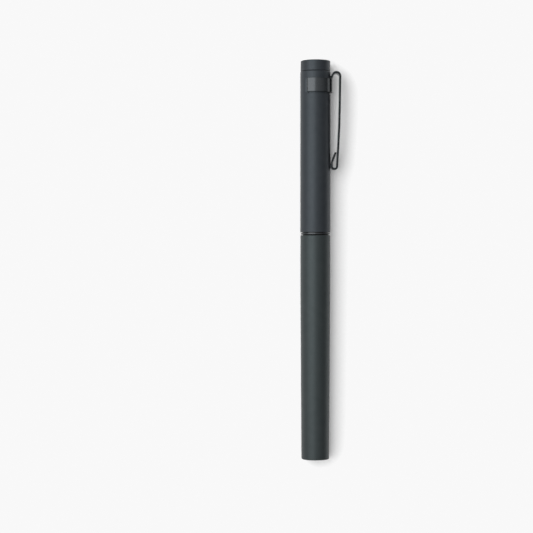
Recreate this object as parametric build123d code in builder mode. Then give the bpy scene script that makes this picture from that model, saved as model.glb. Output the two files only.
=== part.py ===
"""Slim capped fountain pen, in millimetres, as an assembly of separate pieces.

The pen's axis is Y: the tail face is at Y = 0 and the nib and cap point to +Y. The clip is on the
+X side and the nib's top faces +Z. The pen is drawn closed, with its cap on.
"""
import os

from build123d import *

os.makedirs("parts", exist_ok=True)

# Lengths along the pen, from the tail face
PEN_LENGTH = 137.5
BARREL_FRONT = 77.3
FLANGE_REAR = 77.5
FLANGE_FRONT = 78.1
CAP_MOUTH = 78.3
GRIP_REAR = 80.1
GRIP_LIP = 105.2
GRIP_FRONT = 106.8
NIB_SHOULDER = 115.9
NIB_TIP = 124.1
CAP_SHOULDER = 133.55
FINIAL_SEAM = 133.8

# Radii of the outside
CAP_R = 5.21
FINIAL_R = 5.12
BARREL_R = 5.15
TAIL_R = 4.78
TAPER_START = 59.9
EDGE = 0.35
FLANGE_R = 4.93
NECK_R = 4.45
BEAD_R = 4.625
GRIP_REAR_R = 4.485
GRIP_WAIST_R = 3.825
GRIP_LIP_R = 3.935
GRIP_FRONT_R = 3.45

# Bores and threads
CAP_BORE_R = 4.70
BARREL_BORE_R = 4.05
BARREL_END_WALL = 2.6
THREAD_R = 4.40
THREAD_BORE_R = 4.45
THREAD_REAR = 69.0
SEAL_SEAT_R = 4.66
SEAL_SEAT_REAR = 76.15
SEAL_GROOVE_R = 4.02
O_RING_R = 4.34
O_RING_Y = 76.75
O_RING_HALF_THICK = 0.28
O_RING_HALF_WIDTH = 0.38
COLLAR_BORE_R = 3.75
SPIGOT_R = 4.12
SPIGOT_REAR = 77.9
UNIT_BORE_R = 3.20
UNIT_REAR = 86.0
FIT = 0.05

# Grip grooves
GROOVES = 15
GROOVE_PITCH = 1.256
GROOVE_FIRST = 84.1
GROOVE_CUTTER_R = 0.28
GROOVE_DEPTH = 0.16

# Nib, feed and housing
NIB_R = 2.80
NIB_SHEET = 0.25
NIB_REAR = 89.0
SLIT = 0.06
BREATHER_R = 0.55
BREATHER_Y = 114.2
TIPPING_R = 0.30
TIPPING_Z = 1.92
HOUSING_R = 3.17
HOUSING_FRONT = 106.1
FEED_R = 2.50
FEED_REAR = 87.4
FEED_FRONT = 119.4
FEED_SLOPE_START = 108.0
FIN_PITCH = 0.75
FIN_SLOT = 0.35
FIN_FIRST = 91.0
FIN_LAST = 118.0
FEED_CORE = -1.3
FEED_POINT_Z = 1.3
NIPPLE_R = 1.25
NIPPLE_BORE_R = 0.60
NIPPLE_REAR = 78.0

# Converter
RESERVOIR_R = 3.60
RESERVOIR_BORE_R = 3.05
RESERVOIR_REAR = 40.0
MOUTH_FRONT = 84.6
MOUTH_R = 2.40
CHAMBER_FRONT = 76.4
CHROME_REAR = 25.0
CHROME_R = 3.62
NUT_FRONT = 45.0
KNOB_REAR = 10.5
KNOB_R = 3.05
KNOB_SLEEVE_R = 2.30
ROD_R = 1.60
ROD_FLAT = 1.25
ROD_REAR = 13.5
SEAL_REAR = 45.6
SEAL_FRONT = 51.6

# Cap fittings
RING_BODY = (78.85, 79.65)
RING_OUTER_R = 4.90
RING_GAP = 1.2
LINER_REAR = 103.0
LINER_FRONT = 131.3
LINER_R = 4.66
LINER_WALL_REAR = 130.2
SCREW_R = 0.95
SCREW_FRONT = 135.4
SCREW_HEAD_R = 1.9
WASHER_THICK = 0.35

# Clip: one sheet thickness for band and tongue
SHEET = 0.7
BAND_REAR = 126.55
BAND_FRONT = 131.15
BAND_R = 5.86
RELIEF_REAR = 126.0
RELIEF_R = 4.95
BAND_HALF_ANGLE = 120.0
HOOK_ANGLE = 4.5
POCKET_END_ANGLE = 134.0
POCKET_R = 4.92
TONGUE_ROOT_W = 4.0
TONGUE_TIP_W = 3.0
ROOT_X = 5.84
ARM_X = 8.53
LOOP_X = 7.41
LOOP_END_X = 5.61
BEND_TOP = 133.48
BEND_SPLIT = 7.18
BEND_GAP = 0.03
TAPER_TOP = 130.0
LOOP_BOTTOM = 100.2


def turned(outline, mode=Mode.ADD):
    """Turns a closed outline of (radius, Y) points about the pen's axis."""
    with BuildSketch() as half_section:
        with BuildLine():
            Polyline(*outline, close=True)
        make_face()
    revolve(half_section.sketch, axis=Axis.Y, mode=mode)


def ring(inner, outer, rear, front, mode=Mode.ADD):
    """Turns a plain ring or, with an inner radius of 0, a disc."""
    turned([(inner, rear), (outer, rear), (outer, front), (inner, front)], mode)


def ring_sector(inner, outer, rear, front, start, end, mode=Mode.ADD):
    """Part of a ring, between two angles measured from +X towards -Z."""
    with BuildSketch(Plane.XY.rotated((0, start, 0))) as half_section:
        with BuildLine():
            Polyline((inner, rear), (outer, rear), (outer, front), (inner, front), close=True)
        make_face()
    revolve(half_section.sketch, axis=Axis.Y, revolution_arc=end - start, mode=mode)


def across(y):
    """The plane across the pen at Y = y, with X and Z as its own axes."""
    return Plane.XZ.offset(-y)


def save(part, name):
    part.label = name
    export_step(part, f"parts/{name}.step")


# ---------------------------------------------------------------- barrel

with BuildPart() as barrel_tube:
    turned([
        (0, 0), (TAIL_R - EDGE, 0), (TAIL_R - 0.1, 0.1), (TAIL_R, EDGE), (BARREL_R, TAPER_START),
        (BARREL_R, BARREL_FRONT - EDGE), (BARREL_R - 0.1, BARREL_FRONT - 0.1),
        (BARREL_R - EDGE, BARREL_FRONT), (0, BARREL_FRONT),
    ])
    ring(0, BARREL_BORE_R, BARREL_END_WALL, BARREL_FRONT, Mode.SUBTRACT)
    ring(0, THREAD_BORE_R, THREAD_REAR - 0.5, BARREL_FRONT, Mode.SUBTRACT)
    ring(0, SEAL_SEAT_R, SEAL_SEAT_REAR, BARREL_FRONT, Mode.SUBTRACT)
save(barrel_tube.part, "barrel_tube")

with BuildPart() as barrel_o_ring:
    with BuildSketch():
        with Locations((O_RING_R, O_RING_Y)):
            Ellipse(O_RING_HALF_THICK, O_RING_HALF_WIDTH)
    revolve(axis=Axis.Y)
save(barrel_o_ring.part, "barrel_o_ring")

# ---------------------------------------------------------------- section

with BuildPart() as section_collar:
    turned([
        (COLLAR_BORE_R, THREAD_REAR), (THREAD_R - 0.4, THREAD_REAR), (THREAD_R, THREAD_REAR + 0.4),
        (THREAD_R, SEAL_SEAT_REAR), (SEAL_GROOVE_R, O_RING_Y - 0.5), (SEAL_GROOVE_R, O_RING_Y + 0.5),
        (SEAL_SEAT_R - 0.06, FLANGE_REAR), (FLANGE_R, FLANGE_REAR), (FLANGE_R, FLANGE_FRONT - 0.3),
        (FLANGE_R - 0.2, FLANGE_FRONT), (NECK_R, FLANGE_FRONT), (NECK_R, RING_BODY[0] - 0.13),
        (BEAD_R - 0.06, RING_BODY[0] - 0.05), (BEAD_R, RING_BODY[0] + 0.1),
        (BEAD_R, RING_BODY[1] - 0.15), (BEAD_R - 0.08, RING_BODY[1]), (GRIP_REAR_R, GRIP_REAR),
        (SPIGOT_R + 0.02, GRIP_REAR), (SPIGOT_R + 0.02, SPIGOT_REAR), (COLLAR_BORE_R, SPIGOT_REAR),
    ])
save(section_collar.part, "section_collar")


def grip_radius(y):
    """Outer radius of the grip's taper at Y = y."""
    share = (y - GRIP_REAR) / (GRIP_LIP - 0.4 - GRIP_REAR)
    return GRIP_REAR_R + (GRIP_WAIST_R - GRIP_REAR_R) * share


with BuildPart() as grip_section:
    with BuildSketch():
        with BuildLine():
            Polyline(
                (COLLAR_BORE_R, SPIGOT_REAR), (SPIGOT_R, SPIGOT_REAR), (SPIGOT_R, GRIP_REAR),
                (GRIP_REAR_R, GRIP_REAR), (GRIP_WAIST_R, GRIP_LIP - 0.4),
                (GRIP_LIP_R, GRIP_LIP - 0.1), (GRIP_LIP_R, GRIP_LIP + 0.1),
                (GRIP_FRONT_R + 0.12, GRIP_FRONT - 0.1), (GRIP_FRONT_R, GRIP_FRONT),
                (UNIT_BORE_R, GRIP_FRONT), (UNIT_BORE_R, UNIT_REAR), (COLLAR_BORE_R, UNIT_REAR - 0.5),
                close=True,
            )
        make_face()
        for n in range(GROOVES):
            y = GROOVE_FIRST + n * GROOVE_PITCH
            with Locations((grip_radius(y) + GROOVE_CUTTER_R - GROOVE_DEPTH, y)):
                Circle(GROOVE_CUTTER_R, mode=Mode.SUBTRACT)
    revolve(axis=Axis.Y)
save(grip_section.part, "grip_section")

with BuildPart() as nib_housing:
    turned([
        (NIPPLE_BORE_R, NIPPLE_REAR), (NIPPLE_R - 0.15, NIPPLE_REAR), (NIPPLE_R, NIPPLE_REAR + 0.5),
        (NIPPLE_R, UNIT_REAR + 0.1), (HOUSING_R, UNIT_REAR + 0.1), (HOUSING_R, HOUSING_FRONT),
        (NIB_R + 0.03, HOUSING_FRONT), (NIB_R + 0.03, NIB_REAR - 0.05), (FEED_R + 0.02, NIB_REAR - 0.05),
        (FEED_R + 0.02, FEED_REAR - 0.05), (NIPPLE_BORE_R, FEED_REAR - 0.05),
    ])
save(nib_housing.part, "nib_housing")


def nib_wall(y, radius, top, half_angle, inside, outside):
    """Sketch of the nib's curved wall at Y = y, from inside to outside of its outer face."""
    with BuildSketch(across(y)) as wall:
        with BuildLine():
            outer, inner = radius + outside, radius - inside
            centre = top - radius
            edges = []
            for r in (outer, inner):
                side = Vector(0, r).rotate(Axis.Z, -half_angle)
                edges.append(((side.X, centre + side.Y), (0, centre + r), (-side.X, centre + side.Y)))
            ThreePointArc(*edges[0])
            ThreePointArc(*edges[1])
            Line(edges[0][0], edges[1][0])
            Line(edges[0][2], edges[1][2])
        make_face()
    return wall.sketch


# Y, radius of the outer face, height of its top line and half of the wrap angle
NIB_STATIONS = [
    (NIB_REAR, NIB_R, NIB_R, 98),
    (107.0, NIB_R, NIB_R, 94),
    (112.0, 2.95, 2.80, 84),
    (NIB_SHOULDER, 3.50, 2.72, 70),
    (119.5, 3.60, 2.48, 60),
    (NIB_TIP + 0.4, 3.60, 2.02, 50),
]


def nib_loft(inside, outside, mode=Mode.ADD):
    walls = [nib_wall(*station, inside, outside) for station in NIB_STATIONS]
    loft(walls, ruled=True, mode=mode)


with BuildPart() as nib:
    nib_loft(NIB_SHEET, 0)
    with BuildSketch():
        with BuildLine():
            shoulder = Spline(
                (0.20, NIB_TIP), (0.46, 122.4), (1.02, 119.8), (1.85, 118.6), (2.80, 117.0),
                (3.24, NIB_SHOULDER),
            )
            Polyline(shoulder @ 1, (3.60, 113.0), (3.60, NIB_REAR - 1), (0, NIB_REAR - 1),
                     (0, NIB_TIP), shoulder @ 0)
        make_face()
        mirror(about=Plane.YZ)
    extrude(amount=10, both=True, mode=Mode.INTERSECT)
    with BuildSketch():
        with Locations((0, BREATHER_Y)):
            Circle(BREATHER_R)
        with Locations((0, (BREATHER_Y + NIB_TIP) / 2 + 1)):
            Rectangle(SLIT, NIB_TIP - BREATHER_Y + 2)
    extrude(amount=5, mode=Mode.SUBTRACT)
    with Locations((0, NIB_TIP, TIPPING_Z)):
        Sphere(TIPPING_R, mode=Mode.SUBTRACT)
save(nib.part, "nib")

with BuildPart() as nib_tipping:
    with Locations((0, NIB_TIP, TIPPING_Z)):
        Sphere(TIPPING_R)
save(nib_tipping.part, "nib_tipping")

with BuildPart() as feed:
    ring(0, FEED_R, FEED_REAR, FEED_FRONT)
    slope = (FEED_POINT_Z + FEED_R) / (FEED_FRONT - FEED_SLOPE_START)
    with BuildSketch(Plane.YZ):
        with BuildLine():
            Polyline((FEED_SLOPE_START, -FEED_R), (FEED_FRONT + 1, FEED_POINT_Z + slope),
                     (FEED_FRONT + 1, -4), (FEED_SLOPE_START, -4), close=True)
        make_face()
        for n in range(int((FIN_LAST - FIN_FIRST) / FIN_PITCH) + 1):
            y = FIN_FIRST + n * FIN_PITCH
            slot_top = max(FEED_CORE, -FEED_R + slope * (y - FEED_SLOPE_START) + 0.9)
            with Locations((y, (slot_top - 4) / 2)):
                Rectangle(FIN_SLOT, slot_top + 4)
    extrude(amount=5, both=True, mode=Mode.SUBTRACT)
    with BuildSketch():
        with BuildLine():
            Polyline((-2.6, FEED_REAR - 1), (2.6, FEED_REAR - 1), (2.6, 114.5), (1.3, 117.5),
                     (0.55, FEED_FRONT + 1), (-0.55, FEED_FRONT + 1), (-1.3, 117.5), (-2.6, 114.5),
                     close=True)
        make_face()
    extrude(amount=5, both=True, mode=Mode.INTERSECT)
    nib_loft(NIB_SHEET + 0.04, 1.5, Mode.SUBTRACT)
    with BuildSketch(Plane.XY.offset(1.6)):
        with Locations((0, (FEED_REAR + FEED_FRONT) / 2)):
            Rectangle(0.5, FEED_FRONT - FEED_REAR + 2)
    extrude(amount=2, mode=Mode.SUBTRACT)
save(feed.part, "feed")

# ---------------------------------------------------------------- converter

with BuildPart() as converter_tube:
    turned([
        (RESERVOIR_BORE_R, RESERVOIR_REAR), (RESERVOIR_R, RESERVOIR_REAR),
        (RESERVOIR_R, CHAMBER_FRONT - 0.4), (RESERVOIR_R - 0.5, CHAMBER_FRONT + 0.6),
        (MOUTH_R, CHAMBER_FRONT + 1.2), (MOUTH_R, MOUTH_FRONT - 0.3), (MOUTH_R - 0.3, MOUTH_FRONT),
        (NIPPLE_R + FIT, MOUTH_FRONT), (NIPPLE_R + FIT, CHAMBER_FRONT + 0.2),
        (RESERVOIR_BORE_R, CHAMBER_FRONT - 0.9),
    ])
save(converter_tube.part, "converter_tube")

with BuildPart() as converter_ring:
    turned([
        (3.08, CHROME_REAR), (CHROME_R - 0.2, CHROME_REAR), (CHROME_R, CHROME_REAR + 0.2),
        (CHROME_R, RESERVOIR_REAR - 0.02), (3.08, RESERVOIR_REAR - 0.02),
    ])
    for y in (CHROME_REAR + 1.6, RESERVOIR_REAR - 1.6):
        ring(CHROME_R - 0.12, CHROME_R, y - 0.2, y + 0.2, Mode.SUBTRACT)
save(converter_ring.part, "converter_ring")

with BuildPart() as converter_nut:
    turned([
        (KNOB_SLEEVE_R + FIT, CHROME_REAR), (3.03, CHROME_REAR), (3.03, NUT_FRONT),
        (ROD_R + FIT, NUT_FRONT), (ROD_R + FIT, NUT_FRONT - 3), (2.6, NUT_FRONT - 3),
        (2.6, NUT_FRONT - 5), (KNOB_SLEEVE_R + FIT, NUT_FRONT - 5),
    ])
    for side in (1, -1):
        with BuildSketch(across(NUT_FRONT)):
            with Locations((0, side * (ROD_FLAT + FIT + 0.4))):
                Rectangle(2.2, 0.8)
        extrude(amount=3)
save(converter_nut.part, "converter_nut")

with BuildPart() as converter_knob:
    turned([
        (0, KNOB_REAR), (KNOB_R - 0.35, KNOB_REAR), (KNOB_R, KNOB_REAR + 0.35), (KNOB_R, 24.2),
        (KNOB_R - 0.3, CHROME_REAR - 0.3), (KNOB_SLEEVE_R, CHROME_REAR - 0.3),
        (KNOB_SLEEVE_R, NUT_FRONT - 4.85), (2.54, NUT_FRONT - 4.85), (2.54, NUT_FRONT - 3.1),
        (ROD_R + FIT, NUT_FRONT - 3.1), (ROD_R + FIT, ROD_REAR - 1.2), (0, ROD_REAR - 1.2),
    ])
    with BuildSketch(across(KNOB_REAR + 1.6)):
        with PolarLocations(KNOB_R + 0.05, 24):
            Circle(0.2)
    extrude(amount=-10.5, mode=Mode.SUBTRACT)
save(converter_knob.part, "converter_knob")

with BuildPart() as piston_rod:
    ring(0, ROD_R, ROD_REAR, SEAL_REAR)
    with BuildSketch(across(ROD_REAR)):
        Rectangle(2 * ROD_R, 2 * ROD_FLAT)
    extrude(amount=-(SEAL_REAR - ROD_REAR), mode=Mode.INTERSECT)
    ring(0, 1.2, SEAL_REAR, SEAL_FRONT - 1)
save(piston_rod.part, "piston_rod")

with BuildPart() as piston_seal:
    lip = RESERVOIR_BORE_R - 0.03
    turned([
        (0, SEAL_FRONT), (0, SEAL_FRONT - 0.98), (1.22, SEAL_FRONT - 0.98), (1.22, SEAL_REAR + 0.02),
        (lip, SEAL_REAR + 0.02), (lip, SEAL_REAR + 1.2), (lip - 0.4, SEAL_REAR + 1.9),
        (lip - 0.4, SEAL_FRONT - 2.2), (lip, SEAL_FRONT - 1.5), (lip, SEAL_FRONT - 0.3),
        (lip - 0.3, SEAL_FRONT),
    ])
save(piston_seal.part, "piston_seal")

# ---------------------------------------------------------------- cap

with BuildPart() as cap_tube:
    edge = 0.12
    turned([
        (CAP_BORE_R, CAP_MOUTH), (CAP_R - edge, CAP_MOUTH), (CAP_R, CAP_MOUTH + edge),
        (CAP_R, CAP_SHOULDER), (CAP_R - 0.1, FINIAL_SEAM - 0.06), (CAP_R - 0.18, FINIAL_SEAM),
        (CAP_BORE_R, FINIAL_SEAM),
    ])
    ring(CAP_BORE_R, RING_OUTER_R + 0.02, RING_BODY[0] - 0.05, RING_BODY[1] + 0.05, Mode.SUBTRACT)
    ring_sector(BAND_R - SHEET, CAP_R, BAND_REAR - 0.05, BAND_FRONT + 0.05,
                -BAND_HALF_ANGLE - 0.5, BAND_HALF_ANGLE + 0.5, Mode.SUBTRACT)
    ring_sector(RELIEF_R, CAP_R, RELIEF_REAR, BAND_REAR + 0.1,
                -BAND_HALF_ANGLE - 0.5, BAND_HALF_ANGLE + 0.5, Mode.SUBTRACT)
    for start, end in ((-POCKET_END_ANGLE, 5 - BAND_HALF_ANGLE), (BAND_HALF_ANGLE - 5, POCKET_END_ANGLE)):
        ring_sector(POCKET_R, CAP_R, BAND_REAR - 0.05, BAND_FRONT + 0.05, start, end, Mode.SUBTRACT)
save(cap_tube.part, "cap_tube")

with BuildPart() as snap_ring:
    ring(BEAD_R + 0.025, RING_OUTER_R, *RING_BODY)
    with BuildSketch(Plane.XY.offset(-3)):
        with Locations((0, RING_BODY[0])):
            Rectangle(RING_GAP, 4)
    extrude(amount=-4, mode=Mode.SUBTRACT)
save(snap_ring.part, "snap_ring")

with BuildPart() as inner_cap:
    turned([
        (4.06, LINER_REAR), (LINER_R, LINER_REAR), (LINER_R, LINER_FRONT), (0, LINER_FRONT),
        (0, LINER_WALL_REAR), (3.62, LINER_WALL_REAR), (3.62, 107.2), (4.06, 105.9),
    ])
    with Locations(Location((0, LINER_WALL_REAR, 0), (90, 0, 0))):
        CounterSinkHole(SCREW_R + 0.03, SCREW_HEAD_R + 0.02, depth=6)
save(inner_cap.part, "inner_cap")

with BuildPart() as lock_washer:
    ring(SCREW_R + 0.08, 2.4, LINER_FRONT, LINER_FRONT + WASHER_THICK)
    with BuildSketch(Plane.XY):
        with Locations((1.7, LINER_FRONT)):
            Rectangle(2.2, 2)
    extrude(amount=0.15, both=True, mode=Mode.SUBTRACT)
save(lock_washer.part, "lock_washer")

with BuildPart() as cap_screw:
    turned([
        (0, LINER_WALL_REAR + 0.03), (SCREW_HEAD_R, LINER_WALL_REAR + 0.03),
        (SCREW_R, LINER_WALL_REAR + 0.03 + SCREW_HEAD_R - SCREW_R), (SCREW_R, SCREW_FRONT - 0.3),
        (SCREW_R - 0.3, SCREW_FRONT), (0, SCREW_FRONT),
    ])
    with BuildSketch(across(LINER_WALL_REAR)):
        Rectangle(2.6, 0.45)
        Rectangle(0.45, 2.6)
    extrude(amount=-0.5, mode=Mode.SUBTRACT)
save(cap_screw.part, "cap_screw")

with BuildPart() as cap_finial:
    edge = 0.3
    seat = LINER_FRONT + WASHER_THICK
    turned([
        (0, seat), (CAP_BORE_R - 0.02, seat), (CAP_BORE_R - 0.02, FINIAL_SEAM + 0.1),
        (FINIAL_R - 0.08, FINIAL_SEAM + 0.1), (FINIAL_R, FINIAL_SEAM + 0.2),
        (FINIAL_R, PEN_LENGTH - edge), (FINIAL_R - 0.09, PEN_LENGTH - 0.09),
        (FINIAL_R - edge, PEN_LENGTH), (0, PEN_LENGTH),
    ])
    ring(0, SCREW_R + 0.02, seat, SCREW_FRONT + 0.3, Mode.SUBTRACT)
save(cap_finial.part, "cap_finial")

# ---------------------------------------------------------------- clip

with BuildPart() as clip_band:
    ring_sector(BAND_R - SHEET, BAND_R, BAND_REAR, BAND_FRONT, -BAND_HALF_ANGLE, BAND_HALF_ANGLE)
    for start in (-BAND_HALF_ANGLE, BAND_HALF_ANGLE - HOOK_ANGLE):
        ring_sector(POCKET_R + 0.02, BAND_R - SHEET + 0.02, BAND_REAR, BAND_FRONT, start, start + HOOK_ANGLE)
    with BuildLine() as root_line:
        FilletPolyline(
            (BAND_R - SHEET / 2, BAND_FRONT - 1), (ROOT_X, BAND_FRONT + 0.4), (ROOT_X, BEND_TOP),
            (BEND_SPLIT - BEND_GAP, BEND_TOP), radius=[1.0, 1.27],
        )
    with BuildSketch(Plane(root_line.line @ 0, x_dir=(0, 0, 1), z_dir=root_line.line % 0)):
        Rectangle(TONGUE_ROOT_W, SHEET)
    sweep()
save(clip_band.part, "clip_band")

with BuildPart() as clip_arm:
    with BuildLine() as arm_line:
        FilletPolyline(
            (BEND_SPLIT, BEND_TOP), (ARM_X, BEND_TOP), (ARM_X - 0.24, 115.0), (LOOP_X, LOOP_BOTTOM),
            (LOOP_END_X, LOOP_BOTTOM), (LOOP_END_X, LOOP_BOTTOM + 2.1), (7.0, 105.95),
            radius=[1.3, 300, 0.8, 0.8, 2.5],
        )
    with BuildSketch(Plane(arm_line.line @ 0, x_dir=(0, 0, 1), z_dir=arm_line.line % 0)):
        Rectangle(TONGUE_ROOT_W, SHEET)
    sweep()
    with BuildSketch(Plane.YZ):
        with BuildLine():
            Polyline(
                (BEND_TOP + 1, TONGUE_ROOT_W / 2), (TAPER_TOP, TONGUE_ROOT_W / 2),
                (LOOP_BOTTOM - 1, TONGUE_TIP_W / 2), (LOOP_BOTTOM - 1, -TONGUE_TIP_W / 2),
                (TAPER_TOP, -TONGUE_ROOT_W / 2), (BEND_TOP + 1, -TONGUE_ROOT_W / 2), close=True,
            )
        make_face()
    extrude(amount=12, mode=Mode.INTERSECT)
save(clip_arm.part, "clip_arm")
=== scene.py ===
"""A slim fountain pen, capped, on a pale floor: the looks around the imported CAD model.

Lengths inside this script are millimetres in the row's frame, with the pen's axis on Y, its tail at
Y = 0 and the clip towards +X. They turn into metres when a mesh is made.
"""
import math

import bmesh
import bpy
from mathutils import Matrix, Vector


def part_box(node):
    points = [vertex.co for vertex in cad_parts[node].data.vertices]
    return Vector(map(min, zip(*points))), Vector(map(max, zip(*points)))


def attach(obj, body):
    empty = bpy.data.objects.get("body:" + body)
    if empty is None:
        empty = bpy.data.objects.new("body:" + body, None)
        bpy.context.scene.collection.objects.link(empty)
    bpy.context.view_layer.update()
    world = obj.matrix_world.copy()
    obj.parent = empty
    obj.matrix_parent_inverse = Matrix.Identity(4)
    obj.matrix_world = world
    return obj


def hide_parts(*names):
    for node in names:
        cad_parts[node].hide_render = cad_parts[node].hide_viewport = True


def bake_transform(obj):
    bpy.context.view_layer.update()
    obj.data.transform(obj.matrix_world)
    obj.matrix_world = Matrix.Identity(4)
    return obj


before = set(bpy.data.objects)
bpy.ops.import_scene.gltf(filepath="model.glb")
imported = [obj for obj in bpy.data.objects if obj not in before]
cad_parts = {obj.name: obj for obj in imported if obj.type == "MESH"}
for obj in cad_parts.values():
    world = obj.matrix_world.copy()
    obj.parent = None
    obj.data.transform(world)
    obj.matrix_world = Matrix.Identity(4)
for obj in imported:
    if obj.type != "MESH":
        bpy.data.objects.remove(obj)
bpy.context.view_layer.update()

MM = 0.001
TURN = 2 * math.pi
SHARP = math.radians(32)


def span(node):
    """Rear, front and outer radius of a round CAD node, in millimetres."""
    low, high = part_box(node)
    return low.y / MM, high.y / MM, high.z / MM


# ---------------------------------------------------------------- sizes from the frame

TAIL, BARREL_FRONT, BARREL_R = span("barrel_tube")
COLLAR_REAR, COLLAR_FRONT, FLANGE_R = span("section_collar")
GRIP_REAR, GRIP_FRONT, GRIP_REAR_R = span("grip_section")
CAP_MOUTH, CAP_TOP, CAP_R = span("cap_tube")
FINIAL_REAR, PEN_TOP, FINIAL_R = span("cap_finial")
LINER_REAR, LINER_FRONT, LINER_R = span("inner_cap")
BAND_R = span("clip_band")[2]
NIB_REAR, NIB_TIP, NIB_R = span("nib")
NIPPLE_REAR, HOUSING_FRONT, HOUSING_R = span("nib_housing")
TUBE_REAR, TUBE_FRONT, TUBE_R = span("converter_tube")
BANDING_REAR, BANDING_FRONT, BANDING_R = span("converter_ring")
KNOB_REAR, KNOB_FRONT, KNOB_R = span("converter_knob")
ROD_REAR, ROD_FRONT, ROD_FLAT = span("piston_rod")
SEAL_REAR, SEAL_FRONT, SEAL_R = span("piston_seal")
ORING_REAR, ORING_FRONT, ORING_R = span("barrel_o_ring")

# ---------------------------------------------------------------- camera

CAMERA_HEIGHT = 563
CAMERA_X = -16.87
CAMERA_Y = PEN_TOP * 0.4836
CAMERA_TURN = math.radians(0.03)
SENSOR = 36
VIEW_WIDTH = 184.2
# nearest and farthest depth that it shows, in metres
NEAR, FAR = 0.01, 20


def add_camera():
    """Straight above the floor, with the pen to the right of the view's middle."""
    data = bpy.data.cameras.new("camera")
    data.sensor_width = SENSOR
    data.lens = CAMERA_HEIGHT / VIEW_WIDTH * SENSOR
    data.clip_start = NEAR
    data.clip_end = FAR
    camera = bpy.data.objects.new("camera", data)
    camera.location = (CAMERA_X * MM, CAMERA_Y * MM, CAMERA_HEIGHT * MM)
    camera.rotation_euler = (0, 0, CAMERA_TURN)
    bpy.context.scene.collection.objects.link(camera)
    bpy.context.scene.camera = camera


# ---------------------------------------------------------------- materials

# most of the noise's values lie between these two
NOISE_LOW, NOISE_HIGH = 0.3, 0.7
CLEAR_IOR = 1.49


def shader(name):
    """A new material; returns it with its nodes, links and Principled shader."""
    material = bpy.data.materials.new(name)
    material.use_nodes = True
    nodes, links = material.node_tree.nodes, material.node_tree.links
    return material, nodes, links, nodes["Principled BSDF"]


def grain(nodes, links, size, stretch=(1, 1, 1), detail=3):
    """Noise of a given grain size in millimetres, in the piece's own space; returns its factor."""
    place = nodes.new("ShaderNodeTexCoord")
    scale = nodes.new("ShaderNodeMapping")
    scale.inputs["Scale"].default_value = [1 / (size * MM * s) for s in stretch]
    texture = nodes.new("ShaderNodeTexNoise")
    texture.inputs["Scale"].default_value = 1
    texture.inputs["Detail"].default_value = detail
    links.new(place.outputs["Object"], scale.inputs["Vector"])
    links.new(scale.outputs["Vector"], texture.inputs["Vector"])
    return texture.outputs["Fac"]


def between(nodes, links, factor, low, high):
    """A number that runs from low to high with the noise."""
    spread = nodes.new("ShaderNodeMapRange")
    spread.inputs["From Min"].default_value = NOISE_LOW
    spread.inputs["From Max"].default_value = NOISE_HIGH
    spread.inputs["To Min"].default_value = low
    spread.inputs["To Max"].default_value = high
    links.new(factor, spread.inputs["Value"])
    return spread.outputs["Result"]


def tint(nodes, links, factor, dark, light):
    """A colour that runs between two others with the noise."""
    mix = nodes.new("ShaderNodeMix")
    mix.data_type = "RGBA"
    mix.inputs["A"].default_value = (*dark, 1)
    mix.inputs["B"].default_value = (*light, 1)
    links.new(between(nodes, links, factor, 0, 1), mix.inputs["Factor"])
    return mix.outputs["Result"]


def bump(nodes, links, height, depth):
    """Bump from a height factor, with its depth in millimetres."""
    relief = nodes.new("ShaderNodeBump")
    relief.inputs["Distance"].default_value = depth * MM
    relief.inputs["Strength"].default_value = 1
    links.new(height, relief.inputs["Height"])
    return relief.outputs["Normal"]


def coated_metal(name, dark, light, rough, gloss_tint, gloss=0.4, grain_size=0.07, grain_depth=0.004):
    """Fine coating on metal: even colour with a slight mottling, patchy sheen, sandy grain."""
    mottle_size, sheen_size = 2.5, 0.6
    material, nodes, links, out = shader(name)
    mottle = grain(nodes, links, mottle_size)
    fine = grain(nodes, links, grain_size, detail=2)
    links.new(tint(nodes, links, mottle, dark, light), out.inputs["Base Color"])
    links.new(between(nodes, links, grain(nodes, links, sheen_size), *rough), out.inputs["Roughness"])
    links.new(bump(nodes, links, fine, grain_depth), out.inputs["Normal"])
    out.inputs["Specular IOR Level"].default_value = gloss
    out.inputs["Specular Tint"].default_value = (*gloss_tint, 1)
    return material


def plastic(name, dark, light, rough, grain_size=0.12, grain_depth=0.002):
    """Moulded plastic or rubber with a faint moulding texture."""
    mottle_size, sheen_size = 1.5, 0.4
    material, nodes, links, out = shader(name)
    links.new(tint(nodes, links, grain(nodes, links, mottle_size), dark, light), out.inputs["Base Color"])
    links.new(between(nodes, links, grain(nodes, links, sheen_size), *rough), out.inputs["Roughness"])
    fine = grain(nodes, links, grain_size, detail=2)
    links.new(bump(nodes, links, fine, grain_depth), out.inputs["Normal"])
    return material


def metal(name, dark, light, rough, stretch, line=0.03):
    """Bare or plated metal with fine tool lines along its stretch."""
    mottle_size, line_depth = 1.2, 0.0008
    material, nodes, links, out = shader(name)
    out.inputs["Metallic"].default_value = 1
    links.new(tint(nodes, links, grain(nodes, links, mottle_size), dark, light), out.inputs["Base Color"])
    lines = grain(nodes, links, line, stretch)
    links.new(between(nodes, links, lines, *rough), out.inputs["Roughness"])
    links.new(bump(nodes, links, lines, line_depth), out.inputs["Normal"])
    return material


def clear_plastic(name):
    """Clear moulded reservoir wall, with faint draw marks and smears."""
    dark, light, rough = (0.90, 0.93, 0.95), (0.97, 0.98, 0.99), (0.03, 0.10)
    mark_size, mark_depth = 0.8, 0.003
    material, nodes, links, out = shader(name)
    smear = grain(nodes, links, 1.8, (1, 4, 1))
    marks = grain(nodes, links, mark_size, (1, 6, 1))
    links.new(tint(nodes, links, smear, dark, light), out.inputs["Base Color"])
    links.new(between(nodes, links, smear, *rough), out.inputs["Roughness"])
    links.new(bump(nodes, links, marks, mark_depth), out.inputs["Normal"])
    out.inputs["Transmission Weight"].default_value = 1
    out.inputs["IOR"].default_value = CLEAR_IOR
    return material


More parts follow.
